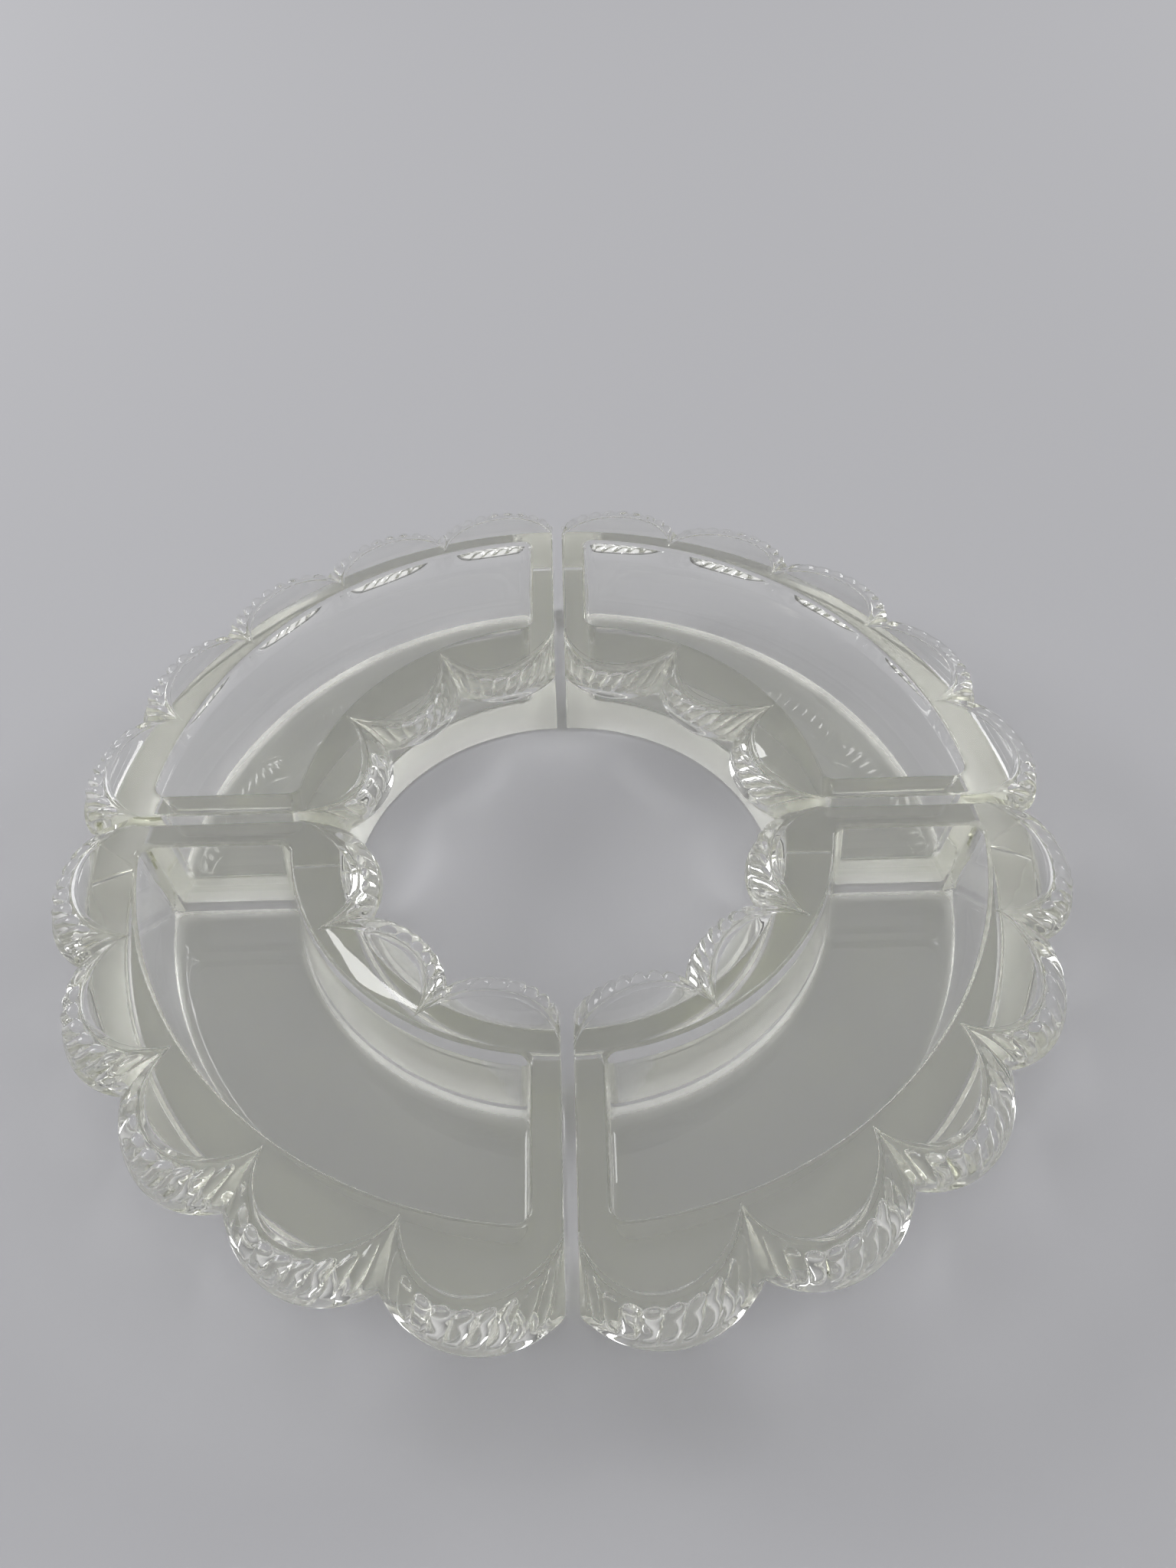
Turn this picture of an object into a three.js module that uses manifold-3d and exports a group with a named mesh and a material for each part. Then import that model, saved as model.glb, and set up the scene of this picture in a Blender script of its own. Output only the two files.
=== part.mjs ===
// A posy ring of clear pressed glass: four quarter-ring troughs that stand loose in a circle.
// Each trough is one body of glass with a scalloped crown of petals on both long sides,
// and a rope of slanted flutes runs under the rim of every petal.
// Millimetres, +Z up. The origin is the middle of the ring, on the table.

import * as THREE from "three";
import { mergeVertices } from "three/addons/utils/BufferGeometryUtils.js";
import Module from "manifold-3d";

// The ring
const TROUGHS = ["back_right_trough", "back_left_trough", "front_left_trough", "front_right_trough"];
const SEAM_GAP = 3.5; // between the end faces of two neighbours

// Heights
const HEIGHT = 42; // table to the crest of the rim bead, where two petals meet
const FLOOR = 6; // glass under the cavity
const EDGE_DROP = 8.3; // from the crest of the rim down to the lower edge of the rope band, at a valley
const UNDERSIDE_DROP = 6.7; // from the lower edge down to the root of the petals' underside

// Outer crown: radii are taken at a valley, where two petals meet
const OUTER_VALLEY = 130; // radius of the valleys between petals
const OUTER_PETALS = 5; // on one trough
const OUTER_REACH = 16.5; // petal tip beyond the valleys
const OUTER_FLARE = 8.6; // lower edge beyond the rim at a petal tip
const OUTER_SKIRT = 16.3; // lower edge beyond the rim at a valley
const OUTER_EDGE_FALL = 3.7; // of the lower edge from a valley down to a petal tip
const OUTER_WALL = 12; // outside of the body wall beyond the valleys, under the petals
const OUTER_FOOT = 6.2; // outside of the body wall beyond the valleys, at the foot
const OUTER_LAND = 3; // from the valleys back to the cavity
const OUTER_FLUTES = 11; // on one petal

// Inner crown, which faces the middle of the ring
const INNER_VALLEY = 79;
const INNER_PETALS = 3;
const INNER_REACH = 16.2;
const INNER_FLARE = 6.8;
const INNER_SKIRT = 14.5;
const INNER_EDGE_FALL = 0.6;
const INNER_WALL = 9.5;
const INNER_FOOT = 10;
const INNER_LAND = 2.8;
const INNER_FLUTES = 10;

// Petals and rope band
const PETAL_DROOP = 2.2; // fall of a petal from its root to its tip
const PETAL_LEAN = 1.2; // by which the rim is fuller on one half of a petal and flatter on the other
const BEAD_WIDTH = 2.2; // plain bead along the rim at a petal tip
const BEAD_TAIL = 0.8; // width of the bead at a valley
const BEAD_RISE = 0.5;
const BEAD_MARGIN = 0.4; // plain strip behind the bead at a valley
const FLUTE_RISE = 1.5; // of a flute above the band
const FLUTE_GAP = 1; // plain strip between the rim and the heads of the flutes
const BORDER = 2.3; // plain strip between the tails of the flutes and the lower edge
const FLUTE_SLANT = 7.5; // along the rim, from the head of a flute to its tail at a petal's middle
const BAND_BULGE = 0.8; // of the band between the rim and the lower edge
const EDGE_LAND = 1.5; // upright face of the lower edge
const EDGE_TUCK = 0.6; // by which that face leans in
// Length of a flute: each entry is the way from its head to its tail and the share of the full rise there
const FLUTE_PROFILE = [[1, 0], [0.85, 0.75], [0.4, 1], [0.12, 0.8], [0, 0]];

// Body
const COVE = 1; // radius between the wall and the underside of the petals
const COVE_TURN = Math.PI / 4; // by which the cove turns out from the wall
const FOOT_BEVEL = 1.2;

// Cavity
const END_WALL = 8.2; // thickness at the top
const SIDE_DRAFT = 3; // by which the long walls thicken towards the floor
const END_DRAFT = 1.5;
const CORNER = 4; // upright corners
const FLOOR_FILLET = 2.5;
const LIP_ROUND = 1.2;

// Facets
const ARC_STEPS = 4; // on a plain ring, for each petal
const EDGE_STEPS = 8; // on a scalloped edge, for each petal
const CAVITY_OUTER_STEPS = 15;
const CAVITY_INNER_STEPS = 9;
const CORNER_STEPS = 3;
const ROUND_STEPS = 2; // on a fillet or a rounded lip

const SWEEP = (2 * Math.PI) / TROUGHS.length;
const LIP_HEIGHT = HEIGHT - BEAD_RISE;
const EDGE_HEIGHT = HEIGHT - EDGE_DROP;
const UNDERSIDE_HEIGHT = EDGE_HEIGHT - EDGE_LAND - UNDERSIDE_DROP;

// side is +1 where the petals reach away from the middle of the ring and -1 where they reach towards it
const OUTER = {
  side: 1,
  petals: OUTER_PETALS,
  valley: OUTER_VALLEY,
  tip: OUTER_VALLEY + OUTER_REACH,
  edgeValley: OUTER_VALLEY + OUTER_SKIRT,
  edgeTip: OUTER_VALLEY + OUTER_REACH + OUTER_FLARE,
  edgeFall: OUTER_EDGE_FALL,
  wall: OUTER_VALLEY + OUTER_WALL,
  foot: OUTER_VALLEY + OUTER_FOOT,
  flutes: OUTER_FLUTES,
};
const INNER = {
  side: -1,
  petals: INNER_PETALS,
  valley: INNER_VALLEY,
  tip: INNER_VALLEY - INNER_REACH,
  edgeValley: INNER_VALLEY - INNER_SKIRT,
  edgeTip: INNER_VALLEY - INNER_REACH - INNER_FLARE,
  edgeFall: INNER_EDGE_FALL,
  wall: INNER_VALLEY - INNER_WALL,
  foot: INNER_VALLEY - INNER_FOOT,
  flutes: INNER_FLUTES,
};

const wasm = await Module();
wasm.setup();

// A point on a trough at a radius, an angle from its first end and a height
function polar(radius, angle, z) {
  return new THREE.Vector3(radius * Math.cos(angle), radius * Math.sin(angle), z);
}

// Where the arc of one petal stands in plan: it runs through both valleys and the tip.
// across goes from -1 at the petal's first valley to 1 at its second.
function petalArc(crown, valley, tip, petal, across) {
  const half = SWEEP / crown.petals / 2;
  const chord = valley * Math.sin(half);
  const sag = crown.side * (tip - valley * Math.cos(half));
  const radius = (chord ** 2 + sag ** 2) / (2 * sag);
  const turn = Math.atan2(chord, radius - sag) * across;
  const along = tip + crown.side * radius * (Math.cos(turn) - 1);
  const aside = radius * Math.sin(turn);
  const axis = (2 * petal + 1) * half;
  return { radius: Math.hypot(along, aside), angle: axis + Math.atan2(aside, along) };
}

// Where the rim of one petal stands in plan: the petal's arc, leaning over to its first valley
function rimArc(crown, valley, tip, petal, across) {
  const { radius, angle } = petalArc(crown, valley, tip, petal, across);
  const lean = 1.5 * Math.sqrt(3) * across * (1 - across ** 2);
  return { radius: radius - PETAL_LEAN * lean, angle };
}

// Height of a petal's top at a radius: level at the valleys and drooping towards the tip
function petalHeight(crown, radius) {
  const share = (radius - crown.valley) / (crown.tip - crown.valley);
  return LIP_HEIGHT - PETAL_DROOP * THREE.MathUtils.clamp(share, 0, 1) ** 2;
}

// Point of the rim, between the bead and the rope band
function rimPoint(crown, petal, across) {
  const { radius, angle } = rimArc(crown, crown.valley, crown.tip, petal, across);
  return polar(radius, angle, petalHeight(crown, radius));
}

// Point of the lower edge, tucked in by tuck. The edge falls from the valleys to the petal tips.
function edgePoint(crown, petal, across, tuck = 0) {
  const valley = crown.edgeValley - crown.side * tuck;
  const tip = crown.edgeTip - crown.side * tuck;
  const { radius, angle } = petalArc(crown, valley, tip, petal, across);
  return polar(radius, angle, EDGE_HEIGHT - (crown.edgeFall * (radius - valley)) / (tip - valley));
}

// Point of the rope band before its flutes are raised. down goes from 0 at the rim to 1 at the edge.
function bandPoint(crown, petal, across, down) {
  return rimPoint(crown, petal, across).lerp(edgePoint(crown, petal, across), down);
}

// Direction away from the glass at a point of the band
function bandNormal(crown, petal, across, down) {
  const step = 0.01;
  const near = THREE.MathUtils.clamp(across, step - 1, 1 - step);
  const along = bandPoint(crown, petal, near + step, down).sub(bandPoint(crown, petal, near - step, down));
  const fall = edgePoint(crown, petal, across).sub(rimPoint(crown, petal, across));
  return fall.cross(along).multiplyScalar(crown.side).normalize();
}

// A row is a list of points from one end of a trough to the other, each with its share of the way.
// It has the same number of steps on every petal, and place gives the point of a petal at across.
function petalRow(crown, steps, place) {
  const row = [];
  for (let petal = 0; petal < crown.petals; petal++) {
    for (let step = petal === 0 ? 0 : 1; step <= steps; step++) {
      const { point, across } = place(petal, (2 * step) / steps - 1, step);
      row.push({ point, share: (petal + (across + 1) / 2) / crown.petals });
    }
  }
  return row;
}

// Row on a plain ring about the middle
function ringRow(crown, radius, z) {
  return petalRow(crown, ARC_STEPS, (petal, across) => {
    const angle = ((petal + (across + 1) / 2) * SWEEP) / crown.petals;
    return { point: polar(radius, angle, z), across };
  });
}

// Row on a petal's arc that follows the top of the petals, raised by rise
function rimRow(crown, valley, tip, rise) {
  return petalRow(crown, crown.flutes, (petal, across) => {
    const { radius, angle } = rimArc(crown, valley, tip, petal, across);
    return { point: polar(radius, angle, petalHeight(crown, radius) + rise), across };
  });
}

// Row on the scalloped lower edge, tucked in by tuck and let down by fall
function edgeRow(crown, tuck, fall) {
  return petalRow(crown, EDGE_STEPS, (petal, across) => {
    const point = edgePoint(crown, petal, across, tuck);
    point.z -= fall;
    return { point, across };
  });
}

// Row across the flutes of the rope band: its points lie in the grooves and on the ridges by turns.
// travel goes from 0 at the heads to 1 at the tails, and lift is the share of the full rise there.
// The flutes slant most at a petal's middle, and come upright and sink into the band at its valleys.
function fluteRow(crown, travel, lift) {
  const halfRim = rimPoint(crown, 0, -1).distanceTo(rimPoint(crown, 0, 0));
  const slant = (crown.side * FLUTE_SLANT) / halfRim;
  return petalRow(crown, 2 * crown.flutes, (petal, across, step) => {
    const reach = rimPoint(crown, petal, across).distanceTo(edgePoint(crown, petal, across));
    const down = THREE.MathUtils.lerp(FLUTE_GAP / reach, 1 - BORDER / reach, travel);
    const moved = across - slant * down * (1 - across ** 2);
    const ridge = step % 2 === 1 ? FLUTE_RISE * lift : 0;
    const bulge = 4 * BAND_BULGE * down * (1 - down);
    const raise = (ridge + bulge) * (1 - moved ** 4);
    const normal = bandNormal(crown, petal, moved, down);
    return { point: bandPoint(crown, petal, moved, down).addScaledVector(normal, raise), across: moved };
  });
}

// Rows of one long side of a trough, from the foot up to the root of the petals
function crownRows(crown) {
  const { side, foot, wall, valley, tip } = crown;
  const coveRow = (turn) => {
    const radius = wall + side * COVE * (1 - Math.cos(turn));
    return ringRow(crown, radius, UNDERSIDE_HEIGHT - COVE * (Math.sin(COVE_TURN) - Math.sin(turn)));
  };
  return [
    ringRow(crown, foot - side * FOOT_BEVEL, 0),
    ringRow(crown, foot, FOOT_BEVEL),
    coveRow(0),
    coveRow(COVE_TURN / 2),
    coveRow(COVE_TURN),
    edgeRow(crown, EDGE_TUCK, EDGE_LAND),
    edgeRow(crown, 0, 0),
    ...FLUTE_PROFILE.map(([travel, lift]) => fluteRow(crown, travel, lift)),
    rimRow(crown, valley, tip, 0),
    rimRow(crown, valley - (side * BEAD_TAIL) / 2, tip - (side * BEAD_WIDTH) / 2, BEAD_RISE),
    rimRow(crown, valley - side * BEAD_TAIL, tip - side * BEAD_WIDTH, 0),
    ringRow(crown, valley - side * (BEAD_TAIL + BEAD_MARGIN), LIP_HEIGHT),
  ];
}

// Triangles between two rows: step by step where the rows have as many points, else by share of the way
function stitch(lower, upper) {
  const triangles = [];
  const paired = lower.length === upper.length;
  let i = 0;
  let j = 0;
  while (i < lower.length - 1 || j < upper.length - 1) {
    const lowerNext = lower[i + 1]?.share ?? Infinity;
    const upperNext = upper[j + 1]?.share ?? Infinity;
    if (paired ? i <= j : lowerNext <= upperNext) {
      triangles.push(lower[i].point, lower[i + 1].point, upper[j].point);
      i++;
    } else {
      triangles.push(lower[i].point, upper[j + 1].point, upper[j].point);
      j++;
    }
  }
  return triangles;
}

// Triangles that fill a flat outline, given in the plane's own two axes and in space
function fill(outline, points) {
  const faces = THREE.ShapeUtils.triangulateShape(outline, []);
  return faces.flatMap(([a, b, c]) => [points[a], points[b], points[c]]);
}

// Closed solid of a list of triangles' corners
function solid(corners) {
  const geometry = mergeVertices(new THREE.BufferGeometry().setFromPoints(corners));
  return new wasm.Manifold(new wasm.Mesh({
    numProp: 3,
    vertProperties: new Float32Array(geometry.getAttribute("position").array),
    triVerts: new Uint32Array(geometry.getIndex().array),
  }));
}

// Body of a trough without its cavity: a loft through rows that go once round its section
function body() {
  const rows = [...crownRows(OUTER), ...crownRows(INNER).reverse()];
  const corners = rows.flatMap((row, index) => stitch(row, rows[(index + 1) % rows.length]));
  const section = (points) => points.map((p) => new THREE.Vector2(Math.hypot(p.x, p.y), p.z));
  const first = rows.map((row) => row[0].point);
  const last = rows.map((row) => row[row.length - 1].point);
  corners.push(...fill(section(first), first), ...fill(section(last), last).reverse());
  return solid(corners);
}

// Plan of the cavity at one level: widen moves its long walls out and deepen its end walls.
// The corners are arcs that run on smoothly into the end walls and the round walls.
function cavityPlan(widen, deepen, z) {
  const outer = OUTER_VALLEY - OUTER_LAND + widen;
  const inner = INNER_VALLEY + INNER_LAND - widen;
  const off = END_WALL - deepen + CORNER;
  const outerCentre = new THREE.Vector2(Math.sqrt((outer - CORNER) ** 2 - off ** 2), off);
  const innerCentre = new THREE.Vector2(Math.sqrt((inner + CORNER) ** 2 - off ** 2), off);
  const arc = (centre, radius, from, to, steps) =>
    new THREE.EllipseCurve(centre.x, centre.y, radius, radius, from, to, to < from).getPoints(steps);
  const halfTurn = Math.PI / 2;
  const nearEnd = [
    ...arc(innerCentre, CORNER, innerCentre.angle() + Math.PI, 3 * halfTurn, CORNER_STEPS),
    ...arc(outerCentre, CORNER, -halfTurn, outerCentre.angle(), CORNER_STEPS),
  ];
  const mirrored = (p) => {
    const angle = SWEEP - p.angle();
    return new THREE.Vector2(p.length() * Math.cos(angle), p.length() * Math.sin(angle));
  };
  const middle = new THREE.Vector2();
  const outerEnd = outerCentre.angle();
  const innerEnd = innerCentre.angle();
  const outerWall = arc(middle, outer, outerEnd, SWEEP - outerEnd, CAVITY_OUTER_STEPS);
  const innerWall = arc(middle, inner, SWEEP - innerEnd, innerEnd, CAVITY_INNER_STEPS);
  const farEnd = nearEnd.map(mirrored).reverse();
  const outline = [...nearEnd, ...outerWall.slice(1, -1), ...farEnd, ...innerWall.slice(1, -1)];
  return outline.map((p) => new THREE.Vector3(p.x, p.y, z));
}

// Cavity of a trough: plans stacked from the filleted floor to the rounded lip, and on above the rim
function cavity() {
  const levels = [];
  const slope = (z) => (LIP_HEIGHT - z) / (LIP_HEIGHT - FLOOR);
  const level = (z, out) => {
    levels.push(cavityPlan(out - SIDE_DRAFT * slope(z), out - END_DRAFT * slope(z), z));
  };
  for (let step = 0; step <= ROUND_STEPS; step++) {
    const turn = ((step / ROUND_STEPS) * Math.PI) / 2;
    level(FLOOR + FLOOR_FILLET * (1 - Math.cos(turn)), -FLOOR_FILLET * (1 - Math.sin(turn)));
  }
  for (let step = 0; step <= ROUND_STEPS; step++) {
    const turn = ((step / ROUND_STEPS) * Math.PI) / 2;
    level(LIP_HEIGHT - LIP_ROUND * (1 - Math.sin(turn)), LIP_ROUND * (1 - Math.cos(turn)));
  }
  const above = levels.at(-1).map((p) => p.clone().setZ(HEIGHT + LIP_ROUND));
  levels.push(above);
  const closed = levels.map((plan) => [...plan, plan[0]].map((point) => ({ point })));
  const flat = (plan) => plan.map((p) => new THREE.Vector2(p.x, p.y));
  const corners = closed.slice(1).flatMap((upper, index) => stitch(closed[index], upper));
  corners.push(...fill(flat(levels[0]), levels[0]).reverse(), ...fill(flat(above), above));
  return solid(corners);
}

// Geometry of one trough, standing with its ends on the rays at 0 and SWEEP
function troughGeometry() {
  const mesh = body().subtract(cavity()).getMesh();
  const geometry = new THREE.BufferGeometry();
  geometry.setAttribute("position", new THREE.BufferAttribute(mesh.vertProperties, 3));
  geometry.setIndex(new THREE.BufferAttribute(mesh.triVerts, 1));
  geometry.computeVertexNormals();
  return geometry;
}

// Each trough is turned into its quarter of the ring and drawn out from the middle by half the seams
const ring = new THREE.Group();
const geometry = troughGeometry();
const outward = SEAM_GAP / 2 / Math.sin(SWEEP / 2);
TROUGHS.forEach((name, index) => {
  const glass = new THREE.MeshStandardMaterial({
    color: 0xdce6df,
    roughness: 0.06,
    metalness: 0,
    transparent: true,
    opacity: 0.4,
  });
  const trough = new THREE.Mesh(geometry, glass);
  trough.name = name;
  trough.position.set(outward * Math.cos(SWEEP / 2), outward * Math.sin(SWEEP / 2), 0);
  const quarter = new THREE.Group();
  quarter.rotation.z = index * SWEEP;
  quarter.add(trough);
  ring.add(quarter);
});

export default ring;
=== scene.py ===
from collections import namedtuple
from math import atan2, cos, hypot, pi, radians, sin, sqrt

import bmesh
import bpy
import numpy as np
from bpy.props import FloatProperty, FloatVectorProperty, IntProperty, PointerProperty
from bpy.types import Operator, Panel, PropertyGroup
from mathutils import Matrix, Vector


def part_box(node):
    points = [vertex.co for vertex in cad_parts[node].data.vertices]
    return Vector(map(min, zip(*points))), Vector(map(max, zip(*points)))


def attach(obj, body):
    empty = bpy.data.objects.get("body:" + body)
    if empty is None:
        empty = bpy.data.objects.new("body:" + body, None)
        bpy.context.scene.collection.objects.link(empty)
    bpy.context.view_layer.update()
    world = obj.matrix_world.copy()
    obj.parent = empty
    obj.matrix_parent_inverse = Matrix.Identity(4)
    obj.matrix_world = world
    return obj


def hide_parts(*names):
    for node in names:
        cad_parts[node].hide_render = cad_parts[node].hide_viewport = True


bl_info = {
    "name": "Posy ring",
    "version": (1, 0, 0),
    "blender": (4, 5, 0),
    "location": "3D View > Sidebar > Posy ring",
    "description": "Four loose quarter-ring troughs of clear pressed glass with rope-edged rims",
    "category": "Add Mesh",
}

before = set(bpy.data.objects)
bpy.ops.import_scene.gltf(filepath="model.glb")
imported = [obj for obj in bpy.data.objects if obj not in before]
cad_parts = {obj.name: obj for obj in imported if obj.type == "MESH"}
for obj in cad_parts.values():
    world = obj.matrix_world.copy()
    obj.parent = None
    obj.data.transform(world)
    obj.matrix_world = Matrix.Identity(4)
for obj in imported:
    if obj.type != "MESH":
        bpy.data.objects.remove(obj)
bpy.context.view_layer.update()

# The troughs in turn round the ring, from the one that stands between +X and +Y
QUARTERS = ("back_right", "back_left", "front_left", "front_right")
SWEEP = 2 * pi / len(QUARTERS)
NEAR_CORNER, FAR_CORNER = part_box("back_right_trough")

# Points and levels closer than a hair are the same; a strip narrower than a speck has no direction
HAIR, SPECK = 1e-6, 1e-12
# Puts a column that lies between two petals or two flutes on the second of them
NUDGE = 1e-9

# Columns along a trough: every flute of both crowns takes a whole number of them, and the first and
# last few are set closer, for the rounded edges of the end faces
COLUMNS, END_COLUMNS, END_STEPS = 660, 3, 8
END_SHARE = (1 - np.cos(np.linspace(0, pi / 2, END_STEPS + 1))) * END_COLUMNS / COLUMNS
SHARE = np.concatenate((
    END_SHARE, np.arange(END_COLUMNS + 1, COLUMNS - END_COLUMNS) / COLUMNS, 1 - END_SHARE[::-1]))
COLUMN_ANGLE = SHARE * SWEEP

# Steps of the rows up a long side of the glass
FOOT_STEPS, WALL_STEPS, COVE_STEPS, UNDERSIDE_STEPS, EDGE_STEPS, TOP_STEPS = 5, 3, 4, 6, 5, 6
# Steps round the cavity and up its walls
CORNER_STEPS, OUTER_STEPS, INNER_STEPS = 9, 220, 150
FILLET_STEPS, DRAFT_STEPS, LIP_STEPS = 7, 4, 6
# Rows along the flutes, from their tails at 1 to their heads at 0, closer where the heads round off
FLUTE_ROWS = (
    1, 0.94, 0.87, 0.78, 0.68, 0.58, 0.48, 0.38, 0.3, 0.24, 0.18, 0.12, 0.07, 0.03, 0.008, 0)
# Rows along the rim bead from its front to its back, closer at its rounded edges
BEAD_ROWS = (0, 0.03, 0.08, 0.16, 0.3, 0.5, 0.7, 0.84, 0.92, 0.97, 1)

# Shares of a flute: length of its round head, and width that it loses down to its tail
HEAD_SHARE, TAPER = 0.25, 0.25
# Powers of a flute's curves: its round across, its fall at the tail and its turn away from the rim
ROUND_POWER, TAIL_POWER, SLANT_POWER = 0.7, 5, 1.3
# Power of the bead's section: 2 would be half round, and more is flatter on top
BEAD_POWER = 3.4
# The rounded lower edge runs into the rope band at this turn from level
SHOULDER = radians(55)
# Share of its length for which the underside of the petals keeps the direction of the cove
UNDERSIDE_LEAD = 0.4
# Share of the room beside a valley that the rope band may fill, and the least room, cubed
VALLEY_ROOM, LEAST_ROOM = 0.8, 1e-15
# Step across a petal over which the slope of its band is taken
SLOPE_STEP = 0.01

# Shares of an end face's edge radius by which the rows give way to it; close rows take less
PLAIN_GIVE, EDGE_GIVE, BORDER_GIVE, FLUTE_GIVE, GAP_GIVE, BEAD_GIVE = 1, 0.7, 0.4, 0.15, 0.3, 0.5
# Keeps sharp corners of the section from giving way too far
MITRE_LIMIT = 0.6

# Faces that meet at less than this angle are shaded as one
SMOOTH_ANGLE = radians(60)
# From one ripple in the glass to the next
RIPPLE_SPACING = 0.014

# The cloth runs far out on all sides and lies just under the glass
FLOOR_SIZE, FLOOR_GAP = 60, 0.0004

Lamp = namedtuple("Lamp", "name place width height share")
# Soft lamps, each with its share of the strongest one's power: they draw the white strokes on the
# rope, the bead and the lips
LAMPS = (
    Lamp("left_window", (-1.45, 0.70, 0.80), 0.90, 0.50, 1.0),
    Lamp("back_window", (-0.45, 1.57, 2.52), 0.25, 0.20, 0.15),
    Lamp("right_window", (1.40, 0.80, 0.80), 0.55, 0.50, 0.52))

# Camera over the front of the ring, as in a picture taken by hand across a table
CAMERA_STAND = Vector((0.003306, -0.23644, 0.33888))
CAMERA_YAW, CAMERA_PITCH, CAMERA_ROLL = radians(-1.1415), radians(50.3675), radians(-0.676)


def linear(code):
    """Linear colour of an sRGB hex code"""
    parts = (int(code[at:at + 2], 16) / 255 for at in (1, 3, 5))
    return tuple(
        part / 12.92 if part <= 0.04045 else ((part + 0.055) / 1.055) ** 2.4 for part in parts)


class TroughSizes(PropertyGroup):
    """Body and cavity of one trough"""

    rim_height: FloatProperty(
        name="Rim height", description="Table to the crest of the rim bead where two petals meet",
        default=FAR_CORNER.z, unit="LENGTH")
    half_seam: FloatProperty(
        name="Half seam", description="From the seam between two troughs to an end face",
        default=NEAR_CORNER.x, unit="LENGTH")
    floor: FloatProperty(
        name="Floor", description="Thickness of the glass under the cavity",
        default=0.006, unit="LENGTH")
    foot_round: FloatProperty(
        name="Foot round", description="Radius along the foot", default=0.0012, unit="LENGTH")
    cove: FloatProperty(
        name="Cove", description="Radius between the wall and the underside of the petals",
        default=0.0010, unit="LENGTH")
    cove_turn: FloatProperty(
        name="Cove turn", description="Angle by which the cove turns out from the wall",
        default=pi / 4, subtype="ANGLE")
    underside_drop: FloatProperty(
        name="Underside drop",
        description="From the lower edge down to the root of the petals' underside",
        default=0.0067, unit="LENGTH")
    end_round: FloatProperty(
        name="End round", description="Radius along the edges of an end face",
        default=0.0007, unit="LENGTH")
    end_wall: FloatProperty(
        name="End wall", description="Thickness of an end wall at the lip",
        default=0.0082, unit="LENGTH")
    side_draft: FloatProperty(
        name="Side draft", description="By which the long walls thicken towards the floor",
        default=0.003, unit="LENGTH")
    end_draft: FloatProperty(
        name="End draft", description="By which the end walls thicken towards the floor",
        default=0.0015, unit="LENGTH")
    corner: FloatProperty(
        name="Corner", description="Radius of the cavity's upright corners",
        default=0.004, unit="LENGTH")
    floor_fillet: FloatProperty(
        name="Floor fillet", description="Radius between the cavity's walls and floor",
        default=0.0025, unit="LENGTH")
    lip_round: FloatProperty(
        name="Lip round", description="Radius along the lip of the cavity",
        default=0.0012, unit="LENGTH")
    broad: FloatProperty(
        name="Broad face",
        description="From this length on a face counts as broad and is shaded flat",
        default=0.004, unit="LENGTH")


class OuterCrownSizes(PropertyGroup):
    """Petals on the outside of the ring; radii are taken at a valley, where two petals meet"""

    petals: IntProperty(name="Petals", description="Petals on one trough", default=5, min=1)
    flutes: IntProperty(name="Flutes", description="Flutes on one petal", default=11, min=1)
    valley: FloatProperty(
        name="Valley", description="Radius of the valleys between petals",
        default=0.130, unit="LENGTH")
    reach: FloatProperty(
        name="Reach", description="Petal tip beyond the valleys", default=0.0165, unit="LENGTH")
    flare: FloatProperty(
        name="Flare", description="Lower edge beyond the rim at a petal tip",
        default=0.00853, unit="LENGTH")
    skirt: FloatProperty(
        name="Skirt", description="Lower edge beyond the rim at a valley",
        default=0.01623, unit="LENGTH")
    edge_fall: FloatProperty(
        name="Edge fall", description="Of the lower edge from a valley down to a petal tip",
        default=0.0037, unit="LENGTH")
    wall: FloatProperty(
        name="Wall", description="Outside of the wall beyond the valleys, under the petals",
        default=0.0120, unit="LENGTH")
    foot: FloatProperty(
        name="Foot", description="Outside of the wall beyond the valleys, at the foot",
        default=0.0062, unit="LENGTH")
    land: FloatProperty(
        name="Land", description="From the valleys back to the cavity",
        default=0.003, unit="LENGTH")


class InnerCrownSizes(PropertyGroup):
    """Petals that face the middle of the ring; radii are taken at a valley"""

    petals: IntProperty(name="Petals", description="Petals on one trough", default=3, min=1)
    flutes: IntProperty(name="Flutes", description="Flutes on one petal", default=10, min=1)
    valley: FloatProperty(
        name="Valley", description="Radius of the valleys between petals",
        default=0.079, unit="LENGTH")
    reach: FloatProperty(
        name="Reach", description="Petal tip beyond the valleys", default=0.0162, unit="LENGTH")
    flare: FloatProperty(
        name="Flare", description="Lower edge beyond the rim at a petal tip",
        default=0.0068, unit="LENGTH")
    skirt: FloatProperty(
        name="Skirt", description="Lower edge beyond the rim at a valley",
        default=0.0145, unit="LENGTH")
    edge_fall: FloatProperty(
        name="Edge fall", description="Of the lower edge from a valley down to a petal tip",
        default=0.0006, unit="LENGTH")
    wall: FloatProperty(
        name="Wall", description="Outside of the wall beyond the valleys, under the petals",
        default=0.0095, unit="LENGTH")
    foot: FloatProperty(
        name="Foot", description="Outside of the wall beyond the valleys, at the foot",
        default=0.010, unit="LENGTH")
    land: FloatProperty(
        name="Land", description="From the valleys back to the cavity",
        default=0.0028, unit="LENGTH")


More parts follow.
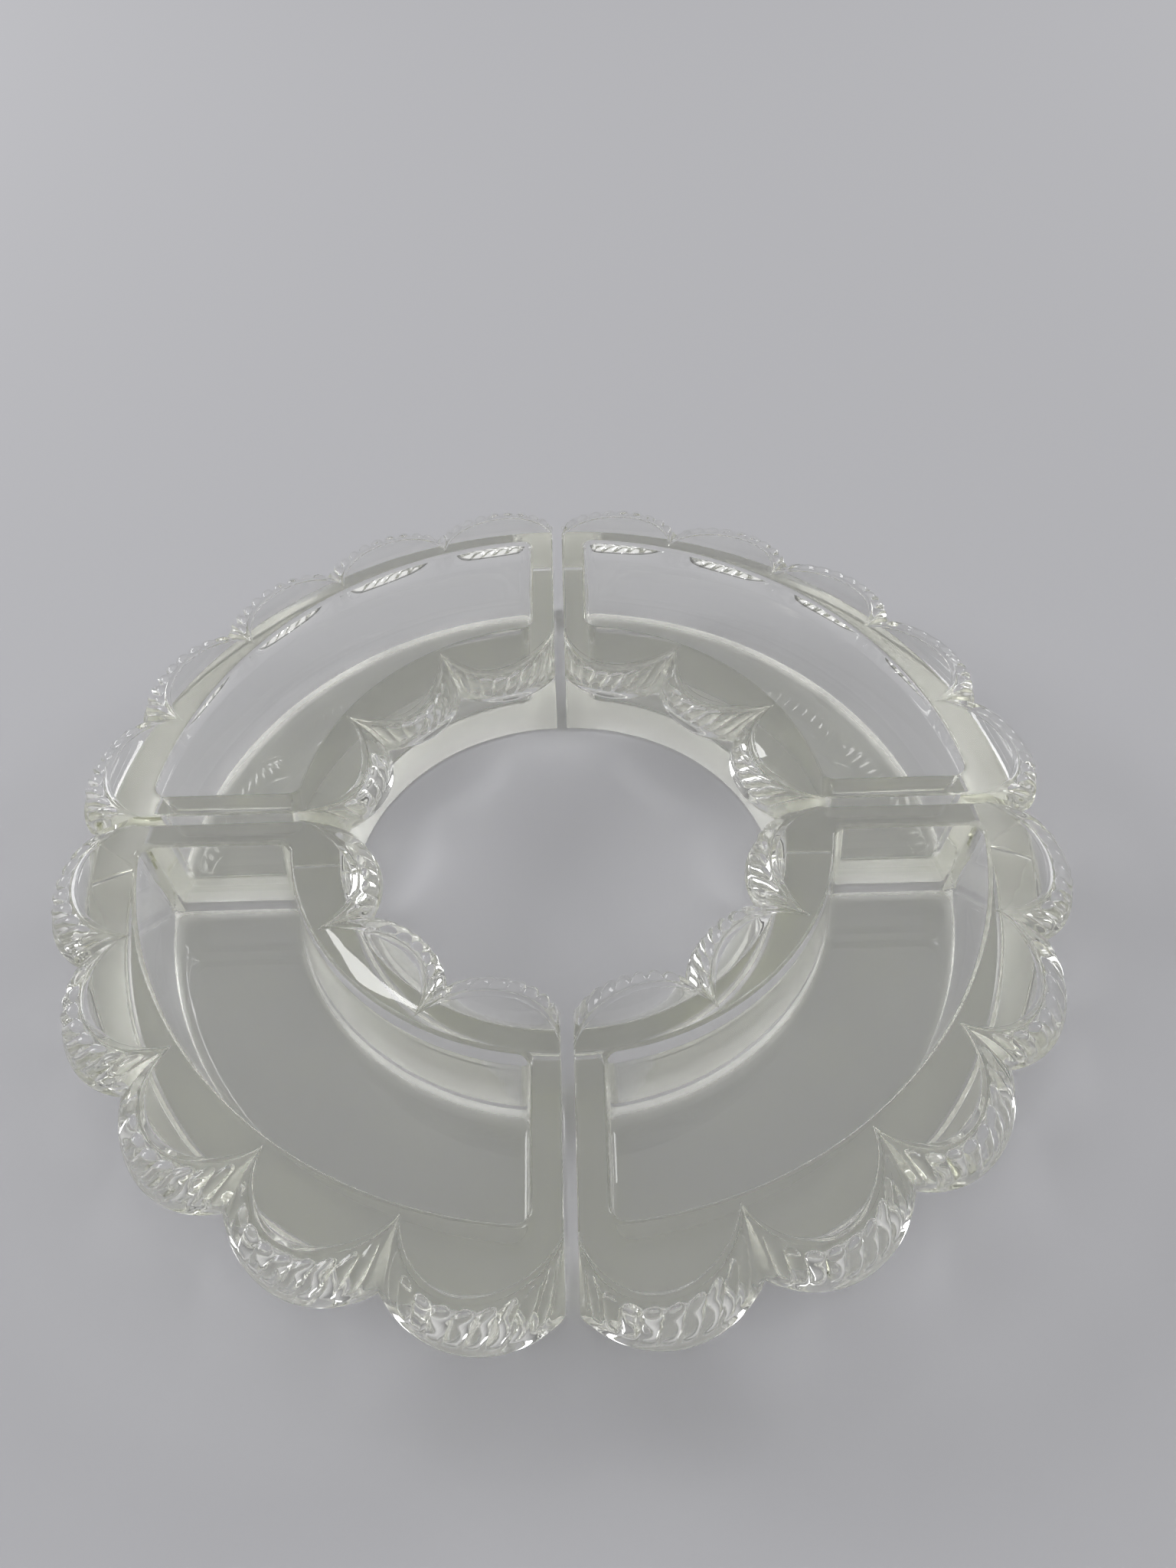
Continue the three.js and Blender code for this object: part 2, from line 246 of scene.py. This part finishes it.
class RopeSizes(PropertyGroup):
    """Rim bead and rope band of a petal"""

    droop: FloatProperty(
        name="Droop", description="Fall of a petal from its root to its tip",
        default=0.0022, unit="LENGTH")
    lean: FloatProperty(
        name="Lean",
        description="By which the rim is fuller on one half of a petal and flatter on the other",
        default=0.0012, unit="LENGTH")
    bead_width: FloatProperty(
        name="Bead width", description="Width of the rim bead at a petal tip",
        default=0.0022, unit="LENGTH")
    bead_tail: FloatProperty(
        name="Bead tail", description="Width of the rim bead at a valley",
        default=0.0008, unit="LENGTH")
    bead_rise: FloatProperty(
        name="Bead rise", description="Height of the rim bead over the petal",
        default=0.0005, unit="LENGTH")
    bead_margin: FloatProperty(
        name="Bead margin", description="Plain strip behind the bead at a valley",
        default=0.0004, unit="LENGTH")
    edge_drop: FloatProperty(
        name="Edge drop", description="From the crest of the rim down to the lower edge",
        default=0.0083, unit="LENGTH")
    edge_round: FloatProperty(
        name="Edge round", description="Radius along the lower edge",
        default=0.00075, unit="LENGTH")
    flute_rise: FloatProperty(
        name="Flute rise", description="Height of a flute over the band",
        default=0.0017, unit="LENGTH")
    flute_gap: FloatProperty(
        name="Flute gap", description="Plain strip between the rim and the heads of the flutes",
        default=0.0010, unit="LENGTH")
    border: FloatProperty(
        name="Border", description="Plain strip between the tails of the flutes and the lower edge",
        default=0.0022, unit="LENGTH")
    flute_slant: FloatProperty(
        name="Flute slant", description="Along the rim, from the head of a flute to its tail",
        default=0.0045, unit="LENGTH")
    bulge: FloatProperty(
        name="Bulge", description="Of the band between the rim and the lower edge",
        default=0.0010, unit="LENGTH")


class GlassFinish(PropertyGroup):
    """Look of the glass"""

    tint: FloatVectorProperty(
        name="Tint", description="What is left of white light in thick glass", subtype="COLOR",
        default=linear("#DEE0C0"), min=0, max=1)
    depth: FloatProperty(
        name="Tint depth", description="Tint taken up by each metre of glass", default=3.4, min=0)
    roughness: FloatProperty(
        name="Roughness", description="Haze of the fire-polished skin", default=0.0, min=0, max=1)
    ground: FloatProperty(
        name="Ground base", description="Haze of the base, which is ground flat",
        default=0.5, min=0, max=1)
    ripple: FloatProperty(
        name="Ripple", description="Depth of the ripples that the mould leaves",
        default=0.00004, unit="LENGTH")


class StageLook(PropertyGroup):
    """Floor, light and camera"""

    cloth: FloatVectorProperty(
        name="Cloth", description="Colour of the floor", subtype="COLOR",
        default=linear("#BDBDC1"), min=0, max=1)
    daylight: FloatProperty(
        name="Daylight", description="Strength of the soft light from above", default=0.88, min=0)
    window: FloatProperty(
        name="Window", description="Power of the strongest soft lamp", default=10.5, min=0,
        unit="POWER")
    lens: FloatProperty(
        name="Lens", description="Focal length over a 36 mm frame", default=28.15, unit="CAMERA")


class PosyRing(PropertyGroup):
    """All that a user may change on the posy ring"""

    trough: PointerProperty(type=TroughSizes)
    outer: PointerProperty(type=OuterCrownSizes)
    inner: PointerProperty(type=InnerCrownSizes)
    rope: PointerProperty(type=RopeSizes)
    glass: PointerProperty(type=GlassFinish)
    stage: PointerProperty(type=StageLook)


def add_node(tree, kind, sockets=()):
    """A node with its settings and links: a socket gets a value, or another node's socket"""
    node = tree.nodes.new(kind)
    for name, value in dict(sockets).items():
        if isinstance(value, bpy.types.NodeSocket):
            tree.links.new(value, node.inputs[name])
        else:
            node.inputs[name].default_value = value
    return node


def points(radius, angle, height):
    """Points at radii, angles from a trough's first end and heights"""
    radius, angle, height = np.broadcast_arrays(radius, angle, height)
    return np.stack((radius * np.cos(angle), radius * np.sin(angle), height), axis=-1)


def ring(radius, height):
    """Row of points on a plain ring about the middle"""
    return points(radius, COLUMN_ANGLE, height)


class Crown:
    """Petals along one long side of a trough: rows of points from the foot up to their roots.

    side is +1 where the petals reach outwards and -1 where they reach inwards. With each row comes
    how far it gives way where the edges of an end face are rounded.
    """

    def __init__(self, sizes, side, trough, rope):
        self.sizes, self.side, self.trough, self.rope = sizes, side, trough, rope
        self.tip = sizes.valley + side * sizes.reach
        self.edge_valley = sizes.valley + side * sizes.skirt
        self.edge_tip = sizes.valley + side * (sizes.reach + sizes.flare)
        self.wall = sizes.valley + side * sizes.wall
        self.foot = sizes.valley + side * sizes.foot
        self.lip = trough.rim_height - rope.bead_rise
        self.edge = trough.rim_height - rope.edge_drop

        # On each column: the angle of its petal's middle, and its place across that from -1 to 1
        self.half = SWEEP / sizes.petals / 2
        place = SHARE * sizes.petals
        petal = np.minimum(np.floor(place + NUDGE), sizes.petals - 1)
        self.axis = (2 * petal + 1) * self.half
        self.heads = 2 * (place - petal) - 1

        # Slant of the flutes as a share of half a petal's rim
        valley, tip = self.rim(np.full_like(self.heads, -1))[0], self.rim(0 * self.heads)[0]
        self.lead = rope.flute_slant / np.linalg.norm(valley - tip)

        self.rows, self.give = [], []
        self.add_wall()
        self.add_underside()
        self.add_rope()
        self.add_top()

    def add(self, row, give):
        self.rows.append(row)
        self.give.append(give)

    def petal_arc(self, valley, tip, across):
        """Radius and angle on the petals' arcs, each of which runs through two valleys and a tip"""
        chord = valley * sin(self.half)
        sag = self.side * (tip - valley * cos(self.half))
        bow = (chord ** 2 + sag ** 2) / (2 * sag)
        turn = atan2(chord, bow - sag) * across
        along = tip + self.side * bow * (np.cos(turn) - 1)
        aside = bow * np.sin(turn)
        return np.hypot(along, aside), self.axis + np.arctan2(aside, along)

    def rim_arc(self, valley, tip, across):
        """Radius and angle along the rim, which bows out on one half of a petal by the lean"""
        radius, angle = self.petal_arc(valley, tip, across)
        # Times 1.5 * sqrt(3), the cubic is 1 where it is highest
        return radius - self.rope.lean * 1.5 * sqrt(3) * across * (1 - across ** 2), angle

    def top_height(self, radius):
        """Height of the petals' top, which droops towards the tips"""
        way = np.clip((radius - self.sizes.valley) / (self.tip - self.sizes.valley), 0, 1)
        return self.lip - self.rope.droop * way ** 2

    def rim(self, across):
        """Points on the rim in front of the bead"""
        radius, angle = self.rim_arc(self.sizes.valley, self.tip, across)
        return points(radius, angle, self.top_height(radius))

    def lower_edge(self, across, turn):
        """Points on the rounded lower edge, turned down or up from its outermost line"""
        tuck = self.side * self.rope.edge_round * (1 - cos(turn))
        valley, tip = self.edge_valley - tuck, self.edge_tip - tuck
        radius, angle = self.petal_arc(valley, tip, across)
        fall = self.sizes.edge_fall * (radius - valley) / (tip - valley)
        return points(radius, angle, self.edge - fall - self.rope.edge_round * (1 - sin(turn)))

    def slanted(self, down):
        """Place across the petal, at a share of the way down, of each column's flute line"""
        seen = self.side * self.heads
        return self.side * (seen - self.lead * (1 - seen ** 2) * down ** SLANT_POWER)

    def plain_band(self, across, down):
        """Points on straight lines from the rim to the lower edge, at shares of the way down"""
        upper = self.rim(across)
        return upper + (self.lower_edge(across, SHOULDER) - upper) * down[:, None]

    def band(self, down, rise):
        """Row of the rope band, raised over its straight lines by a bulge and by the flutes"""
        across = self.slanted(down)
        base = self.plain_band(across, down)
        near = np.clip(across, SLOPE_STEP - 1, 1 - SLOPE_STEP)
        ahead = self.plain_band(near + SLOPE_STEP, down)
        behind = self.plain_band(near - SLOPE_STEP, down)
        fall = self.lower_edge(across, SHOULDER) - self.rim(across)
        normal = self.side * np.cross(fall, ahead - behind)
        normal /= np.linalg.norm(normal, axis=1)[:, None]
        # Times 4, the parabola of the bulge is 1 half-way down
        raised = rise + 4 * self.rope.bulge * down * (1 - down)
        # The band never rises past the plane of a valley, where the next petal starts
        turned = np.abs(np.arctan2(base[:, 1], base[:, 0]) - self.axis)
        away = np.hypot(base[:, 0], base[:, 1])
        room = VALLEY_ROOM * away * np.sin(np.maximum(self.half - turned, 0))
        raised = raised * room / np.cbrt(raised ** 3 + room ** 3 + LEAST_ROOM)
        return base + normal * raised[:, None]

    def add_wall(self):
        """Rounded foot, wall and cove"""
        trough, side = self.trough, self.side
        for turn in np.linspace(0, pi / 2, FOOT_STEPS + 1):
            radius = self.foot - side * trough.foot_round * (1 - sin(turn))
            self.add(ring(radius, trough.foot_round * (1 - cos(turn))), PLAIN_GIVE)
        root = self.edge - 2 * self.rope.edge_round - trough.underside_drop
        cove_foot = root - trough.cove * sin(trough.cove_turn)
        for step in range(1, WALL_STEPS):
            way = step / WALL_STEPS
            radius = self.foot + (self.wall - self.foot) * way
            height = trough.foot_round + (cove_foot - trough.foot_round) * way
            self.add(ring(radius, height), PLAIN_GIVE)
        for step in range(COVE_STEPS + 1):
            turn = step / COVE_STEPS * trough.cove_turn
            radius = self.wall + side * trough.cove * (1 - cos(turn))
            self.add(ring(radius, cove_foot + trough.cove * sin(turn)), PLAIN_GIVE)

    def add_underside(self):
        """Underside of the petals, which leaves the cove smoothly, and rounded lower edge"""
        cove_turn = self.trough.cove_turn
        across = self.slanted(1.0)
        start, end = self.rows[-1], self.lower_edge(across, -pi / 2)
        span = np.linalg.norm(end - start, axis=1)
        onward = points(self.side * sin(cove_turn), COLUMN_ANGLE, cos(cove_turn))
        middle = start + UNDERSIDE_LEAD * span[:, None] * onward
        for step in range(1, UNDERSIDE_STEPS):
            way = step / UNDERSIDE_STEPS
            row = (1 - way) ** 2 * start + 2 * way * (1 - way) * middle + way ** 2 * end
            self.add(row, PLAIN_GIVE)
        for turn in np.linspace(-pi / 2, SHOULDER, EDGE_STEPS + 1)[:-1]:
            self.add(self.lower_edge(across, turn), PLAIN_GIVE)

    def add_rope(self):
        """Band of slanted flutes, from the lower edge up to the rim"""
        rope, heads = self.rope, self.heads
        flute = (heads + 1) / 2 * self.sizes.flutes
        off_ridge = 2 * (flute - np.floor(flute + NUDGE) - 0.5)
        length = np.linalg.norm(self.lower_edge(heads, SHOULDER) - self.rim(heads), axis=1)
        first, last = rope.flute_gap / length, 1 - rope.border / length
        self.add(self.band(np.ones_like(heads), 0), EDGE_GIVE)
        self.add(self.band((1 + last) / 2, 0), BORDER_GIVE)
        for travel in FLUTE_ROWS:
            past = max(0, (travel - HEAD_SHARE) / (1 - HEAD_SHARE))
            ahead = max(0, (HEAD_SHARE - travel) / HEAD_SHARE)
            narrow = 1 - TAPER * past ** 2
            rounded = np.clip(1 - (off_ridge / narrow) ** 2 - ahead ** 2, 0, 1) ** ROUND_POWER
            rise = rope.flute_rise * (1 - past ** TAIL_POWER) * rounded
            self.add(self.band(first + (last - first) * travel, rise), FLUTE_GIVE)
        self.add(self.band(first / 2, 0), GAP_GIVE)

    def add_top(self):
        """Rim bead, flat on top with rounded edges, and the petals' top behind it"""
        rope, side, valley = self.rope, self.side, self.sizes.valley
        for way in BEAD_ROWS:
            radius, angle = self.rim_arc(
                valley - side * rope.bead_tail * way, self.tip - side * rope.bead_width * way,
                self.heads)
            rise = rope.bead_rise * (1 - abs(2 * way - 1) ** BEAD_POWER) ** (1 / BEAD_POWER)
            self.add(points(radius, angle, self.top_height(radius) + rise), BEAD_GIVE)
        # The top is level where it meets the land round the cavity
        back = valley - side * (rope.bead_tail + rope.bead_margin)
        for step in range(1, TOP_STEPS + 1):
            way = step / TOP_STEPS
            on_top = radius + (back - radius) * way
            row = points(on_top, angle + (COLUMN_ANGLE - angle) * way, self.top_height(on_top))
            self.add(row, BEAD_GIVE + (PLAIN_GIVE - BEAD_GIVE) * way)


def round_ends(rows, give, end_round, lip):
    """Rounds the edges of both end faces: the rows draw in over the last few columns"""
    section = np.stack((np.hypot(rows[:, 0, 0], rows[:, 0, 1]), rows[:, 0, 2]), axis=-1)
    step = np.roll(section, -1, axis=0) - section
    face = np.stack((step[:, 1], -step[:, 0]), axis=-1)
    face /= np.maximum(np.linalg.norm(face, axis=1), SPECK)[:, None]
    mitre = face + np.roll(face, 1, axis=0)
    mitre /= np.maximum((mitre ** 2).sum(axis=1) / 2, MITRE_LIMIT)[:, None]
    # Bead and petal tops only give way downwards, so that their close rows never cross
    mitre[section[:, 1] > lip - HAIR] = (0, 1)
    for column in range(END_STEPS):
        inset = end_round * (1 - sin(column / END_STEPS * pi / 2))
        for place in (column, -1 - column):
            away = np.hypot(rows[:, place, 0], rows[:, place, 1])
            rows[:, place, :2] *= (1 - inset * give * mitre[:, 0] / away)[:, None]
            rows[:, place, 2] -= inset * give * mitre[:, 1]


def body_rows(ring_sizes):
    """Rows of points once round the section of a trough, from its outer to its inner foot"""
    trough, rope = ring_sizes.trough, ring_sizes.rope
    outer = Crown(ring_sizes.outer, 1, trough, rope)
    inner = Crown(ring_sizes.inner, -1, trough, rope)
    rows = np.array(outer.rows + inner.rows[::-1])
    round_ends(rows, np.array(outer.give + inner.give[::-1]), trough.end_round, outer.lip)
    return np.concatenate((rows, rows[:1]))


def cavity_plan(ring_sizes, out_sides, out_ends, height):
    """Outline of the cavity at one level; its corners run on smoothly into the walls"""
    trough = ring_sizes.trough
    corner = trough.corner
    outer = ring_sizes.outer.valley - ring_sizes.outer.land + out_sides
    inner = ring_sizes.inner.valley + ring_sizes.inner.land - out_sides
    off = trough.end_wall - out_ends + corner
    outer_centre = (sqrt((outer - corner) ** 2 - off ** 2), off)
    inner_centre = (sqrt((inner + corner) ** 2 - off ** 2), off)
    outer_angle, inner_angle = atan2(off, outer_centre[0]), atan2(off, inner_centre[0])

    def arc(centre, radius, start, end, steps):
        turn = np.linspace(start, end, steps + 1)
        return np.stack(
            (centre[0] + radius * np.cos(turn), centre[1] + radius * np.sin(turn)), axis=-1)

    first_end = np.concatenate((
        arc(inner_centre, corner, inner_angle + pi, 1.5 * pi, CORNER_STEPS),
        arc(outer_centre, corner, -pi / 2, outer_angle, CORNER_STEPS)))
    second_end = first_end[::-1, ::-1]
    middle = (0, 0)
    outline = np.concatenate((
        first_end,
        arc(middle, outer, outer_angle, SWEEP - outer_angle, OUTER_STEPS)[1:-1],
        second_end,
        arc(middle, inner, SWEEP - inner_angle, inner_angle, INNER_STEPS)[1:]))
    return np.column_stack((outline, np.full(len(outline), height)))


def cavity_rows(ring_sizes):
    """Outlines of the cavity from its filleted floor up to its rounded lip"""
    trough = ring_sizes.trough
    floor, fillet, lip_round = trough.floor, trough.floor_fillet, trough.lip_round
    lip = trough.rim_height - ring_sizes.rope.bead_rise
    rows = []

    def add(height, out):
        slope = (lip - height) / (lip - floor)
        rows.append(cavity_plan(
            ring_sizes, out - trough.side_draft * slope, out - trough.end_draft * slope, height))

    for turn in np.linspace(0, pi / 2, FILLET_STEPS + 1):
        add(floor + fillet * (1 - cos(turn)), -fillet * (1 - sin(turn)))
    top, bottom = lip - lip_round, floor + fillet
    for step in range(1, DRAFT_STEPS):
        add(bottom + (top - bottom) * (step / DRAFT_STEPS), 0)
    for turn in np.linspace(0, pi / 2, LIP_STEPS + 1):
        add(lip - lip_round * (1 - sin(turn)), lip_round * (1 - cos(turn)))
    return np.array(rows)


def add_sheet(name, rows):
    """A grid whose crossings are laid on rows of points"""
    levels, steps = rows.shape[0] - 1, rows.shape[1] - 1
    bpy.ops.object.select_all(action="DESELECT")
    bpy.ops.mesh.primitive_grid_add(
        x_subdivisions=steps, y_subdivisions=levels, size=2, calc_uvs=False)
    sheet = bpy.context.object
    sheet.name = sheet.data.name = name
    flat = np.empty(3 * len(sheet.data.vertices))
    sheet.data.vertices.foreach_get("co", flat)
    flat = flat.reshape(-1, 3)
    if len(flat) != (levels + 1) * (steps + 1):
        raise RuntimeError("the grid has another number of crossings than the rows")
    column = np.rint((flat[:, 0] + 1) / 2 * steps).astype(int)
    row = np.rint((flat[:, 1] + 1) / 2 * levels).astype(int)
    sheet.data.vertices.foreach_set("co", rows[row, column].ravel())
    sheet.data.update()
    return sheet


def pick_open_edges(piece, test):
    """Selects the open edges whose two ends pass a test of their place"""
    mesh = bmesh.from_edit_mesh(piece.data)
    picked = 0
    for edge in mesh.edges:
        edge.select_set(False)
    for edge in mesh.edges:
        if edge.is_boundary and all(test(vertex.co) for vertex in edge.verts):
            edge.select_set(True)
            picked += 1
    bmesh.update_edit_mesh(piece.data)
    if not picked:
        raise RuntimeError("no open edge to close here")


def model_trough(context, ring_sizes):
    """One trough, closed all round, with its first end along +X and its second along +Y"""
    floor = ring_sizes.trough.floor
    lip = ring_sizes.trough.rim_height - ring_sizes.rope.bead_rise
    cavity = add_sheet("trough_cavity", cavity_rows(ring_sizes))
    glass = add_sheet("trough_glass", body_rows(ring_sizes))

    # The level strip between the roots of the petals opens for the cavity
    bpy.ops.object.mode_set(mode="EDIT")
    bpy.ops.mesh.select_all(action="SELECT")
    bpy.ops.mesh.remove_doubles(threshold=HAIR)
    mesh = bmesh.from_edit_mesh(glass.data)
    inner_root = ring_sizes.inner.valley + ring_sizes.inner.land
    outer_root = ring_sizes.outer.valley - ring_sizes.outer.land
    for face in mesh.faces:
        middle = face.calc_center_median()
        level = all(abs(vertex.co.z - lip) < HAIR for vertex in face.verts)
        face.select_set(level and inner_root < hypot(middle.x, middle.y) < outer_root)
    bmesh.update_edit_mesh(glass.data)
    bpy.ops.mesh.delete(type="FACE")
    bpy.ops.object.mode_set(mode="OBJECT")

    cavity.select_set(True)
    glass.select_set(True)
    context.view_layer.objects.active = glass
    bpy.ops.object.join()

    # Land round the lip, floor of the cavity and both end faces
    bpy.ops.object.mode_set(mode="EDIT")
    bpy.ops.mesh.select_mode(type="EDGE")
    bpy.ops.mesh.select_all(action="SELECT")
    bpy.ops.mesh.remove_doubles(threshold=HAIR)
    pick_open_edges(glass, lambda co: abs(co.z - lip) < HAIR)
    bpy.ops.mesh.fill(use_beauty=False)
    pick_open_edges(glass, lambda co: abs(co.z - floor) < HAIR)
    bpy.ops.mesh.edge_face_add()
    pick_open_edges(glass, lambda co: abs(co.y) < HAIR)
    bpy.ops.mesh.edge_face_add()
    pick_open_edges(glass, lambda co: abs(co.x) < HAIR)
    bpy.ops.mesh.edge_face_add()
    bpy.ops.mesh.select_all(action="SELECT")
    bpy.ops.mesh.normals_make_consistent(inside=False)
    bpy.ops.object.mode_set(mode="OBJECT")
    return glass


def pressed_glass(name, finish, roughness):
    """Soda-lime glass, pressed in a mould.

    It is clear and hard-edged, with faint ripples that bend what is seen through it. The iron in
    the melt shows as a pale olive green only where the light has a long way through the glass.
    Fire-polished skin mirrors sharply; the ground base scatters the light, so the thick walls over
    it look even.
    """
    material = bpy.data.materials.new(name)
    material.use_nodes = True
    tree = material.node_tree
    tree.nodes.clear()
    place = add_node(tree, "ShaderNodeTexCoord")
    noise = add_node(tree, "ShaderNodeTexNoise", {
        "Vector": place.outputs["Object"], "Scale": 1 / RIPPLE_SPACING, "Detail": 1.0,
        "Roughness": 0.4})
    bump = add_node(tree, "ShaderNodeBump", {
        "Height": noise.outputs["Fac"], "Distance": finish.ripple, "Strength": 1.0})
    surface = add_node(tree, "ShaderNodeBsdfPrincipled", {
        "Base Color": (*linear("#FFFFFF"), 1), "Roughness": roughness, "IOR": 1.5,
        "Transmission Weight": 1.0, "Normal": bump.outputs["Normal"]})
    depth = add_node(tree, "ShaderNodeVolumeAbsorption", {
        "Color": (*finish.tint, 1), "Density": finish.depth})
    add_node(tree, "ShaderNodeOutputMaterial", {
        "Surface": surface.outputs["BSDF"], "Volume": depth.outputs["Volume"]})
    return material


def finish_glass(glass, finish, broad):
    """Shades a trough, and gives its skin and its base their two finishes"""
    # Broad faces stay true up to their rounded edges, so that light runs straight between them
    bpy.ops.object.shade_smooth_by_angle(angle=SMOOTH_ANGLE)
    for face in glass.data.polygons:
        outline = [glass.data.vertices[index].co for index in face.vertices]
        sides = zip(outline, outline[1:] + outline[:1])
        longest = max((after - before).length for before, after in sides)
        face.use_smooth = len(outline) == 4 and longest < broad
        face.material_index = int(all(abs(corner.z) < HAIR for corner in outline))
    skin = pressed_glass("Fire-polished soda-lime glass", finish, finish.roughness)
    base = pressed_glass("Ground soda-lime glass", finish, finish.ground)
    glass.data.materials.append(skin)
    glass.data.materials.append(base)


class MESH_OT_posy_troughs(Operator):
    """Model one glass trough and set it out four times round the ring"""

    bl_idname = "mesh.posy_troughs"
    bl_label = "Glass troughs"
    bl_options = {"REGISTER", "UNDO"}

    def execute(self, context):
        ring_sizes = context.scene.posy_ring
        trough = ring_sizes.trough
        glass = model_trough(context, ring_sizes)
        finish_glass(glass, ring_sizes.glass, trough.broad)

        outward = Matrix.Translation((trough.half_seam, trough.half_seam, 0))
        for index, quarter in enumerate(QUARTERS):
            bpy.ops.object.select_all(action="DESELECT")
            glass.select_set(True)
            context.view_layer.objects.active = glass
            bpy.ops.object.duplicate(linked=False)
            piece = context.object
            piece.name = piece.data.name = quarter + "_glass"
            piece.matrix_world = Matrix.Rotation(index * SWEEP, 4, "Z") @ outward
            bpy.ops.object.transform_apply(location=True, rotation=True, scale=True)
            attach(piece, quarter)
            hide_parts(quarter + "_trough")
        bpy.ops.object.select_all(action="DESELECT")
        glass.select_set(True)
        bpy.ops.object.delete()
        return {"FINISHED"}


def cotton_cloth(colour):
    """Cotton cloth, plain woven and ironed: matt all over, with no shine of its own"""
    material = bpy.data.materials.new("Ironed cotton cloth")
    material.use_nodes = True
    tree = material.node_tree
    tree.nodes.clear()
    surface = add_node(tree, "ShaderNodeBsdfPrincipled", {
        "Base Color": (*colour, 1), "Roughness": 0.95, "Specular IOR Level": 0.2})
    add_node(tree, "ShaderNodeOutputMaterial", {"Surface": surface.outputs["BSDF"]})
    return material


def add_floor(context, look):
    """Plain cloth under the ring"""
    bpy.ops.object.select_all(action="DESELECT")
    bpy.ops.mesh.primitive_plane_add(size=FLOOR_SIZE, location=(0, 0, -FLOOR_GAP))
    floor = context.object
    floor.name = "floor_cloth"
    floor.data.materials.append(cotton_cloth(look.cloth))
    bpy.ops.object.transform_apply(location=True, rotation=True, scale=True)


def add_light(context, look):
    """Soft daylight, brightest overhead, and soft lamps on the left, back and right"""
    world = bpy.data.worlds.new("Soft daylight")
    context.scene.world = world
    world.use_nodes = True
    tree = world.node_tree
    tree.nodes.clear()
    direction = add_node(tree, "ShaderNodeTexCoord")
    height = add_node(tree, "ShaderNodeSeparateXYZ", {"Vector": direction.outputs["Generated"]})
    ramp = add_node(tree, "ShaderNodeValToRGB", {"Fac": height.outputs["Z"]})
    ramp.color_ramp.elements[0].color = (*linear("#606060"), 1)
    ramp.color_ramp.elements[1].color = (*linear("#FFFFFF"), 1)
    sky = add_node(tree, "ShaderNodeBackground", {
        "Color": ramp.outputs["Color"], "Strength": look.daylight})
    add_node(tree, "ShaderNodeOutputWorld", {"Surface": sky.outputs["Background"]})

    for window in LAMPS:
        bpy.ops.object.light_add(type="AREA", location=window.place)
        lamp = context.object
        lamp.name = window.name
        lamp.data.shape = "RECTANGLE"
        lamp.data.size, lamp.data.size_y = window.width, window.height
        lamp.data.energy = look.window * window.share
        lamp.rotation_euler = (-lamp.location).to_track_quat("-Z", "Y").to_euler()

    # Light passes many walls of glass before it leaves the ring, and tones are kept as they fall
    context.scene.cycles.max_bounces = 32
    context.scene.cycles.glossy_bounces = 16
    context.scene.cycles.transmission_bounces = 32
    context.scene.cycles.blur_glossy = 0
    context.scene.view_settings.view_transform = "Standard"


def add_camera(context, look):
    """Camera at the picture's angle"""
    turn = Matrix.Rotation(CAMERA_YAW, 3, "Z")
    ahead = turn @ Vector((0, cos(CAMERA_PITCH), -sin(CAMERA_PITCH)))
    level = turn @ Vector((1, 0, 0))
    upright = level.cross(ahead)
    right = level * cos(CAMERA_ROLL) + upright * sin(CAMERA_ROLL)
    up = upright * cos(CAMERA_ROLL) - level * sin(CAMERA_ROLL)
    facing = Matrix((right, up, -ahead)).transposed().to_4x4()
    bpy.ops.object.camera_add()
    camera = context.object
    camera.name = "camera"
    camera.data.sensor_width = 36
    camera.data.lens = look.lens
    camera.data.clip_start = 0.01
    camera.matrix_world = Matrix.Translation(CAMERA_STAND) @ facing
    context.scene.camera = camera


class SCENE_OT_posy_stage(Operator):
    """Add the floor, the soft light and the camera"""

    bl_idname = "scene.posy_stage"
    bl_label = "Stage"
    bl_options = {"REGISTER", "UNDO"}

    def execute(self, context):
        look = context.scene.posy_ring.stage
        add_floor(context, look)
        add_light(context, look)
        add_camera(context, look)
        return {"FINISHED"}


class VIEW3D_PT_posy_ring(Panel):
    """Sizes, looks and pieces of the posy ring"""

    bl_idname = "VIEW3D_PT_posy_ring"
    bl_label = "Posy ring"
    bl_space_type = "VIEW_3D"
    bl_region_type = "UI"
    bl_category = "Posy ring"

    def draw(self, context):
        ring_sizes = context.scene.posy_ring
        for title in PosyRing.__annotations__:
            box = self.layout.box()
            box.label(text=title.capitalize())
            group = getattr(ring_sizes, title)
            for name in group.__annotations__:
                box.prop(group, name)
        for step in (MESH_OT_posy_troughs, SCENE_OT_posy_stage):
            self.layout.operator(step.bl_idname)


CLASSES = (
    TroughSizes, OuterCrownSizes, InnerCrownSizes, RopeSizes, GlassFinish, StageLook, PosyRing,
    MESH_OT_posy_troughs, SCENE_OT_posy_stage, VIEW3D_PT_posy_ring)


def register():
    for item in CLASSES:
        bpy.utils.register_class(item)
    bpy.types.Scene.posy_ring = PointerProperty(type=PosyRing)


def unregister():
    del bpy.types.Scene.posy_ring
    for item in reversed(CLASSES):
        bpy.utils.unregister_class(item)


def main():
    register()
    bpy.ops.mesh.posy_troughs()
    bpy.ops.scene.posy_stage()


if __name__ == "__main__":
    main()
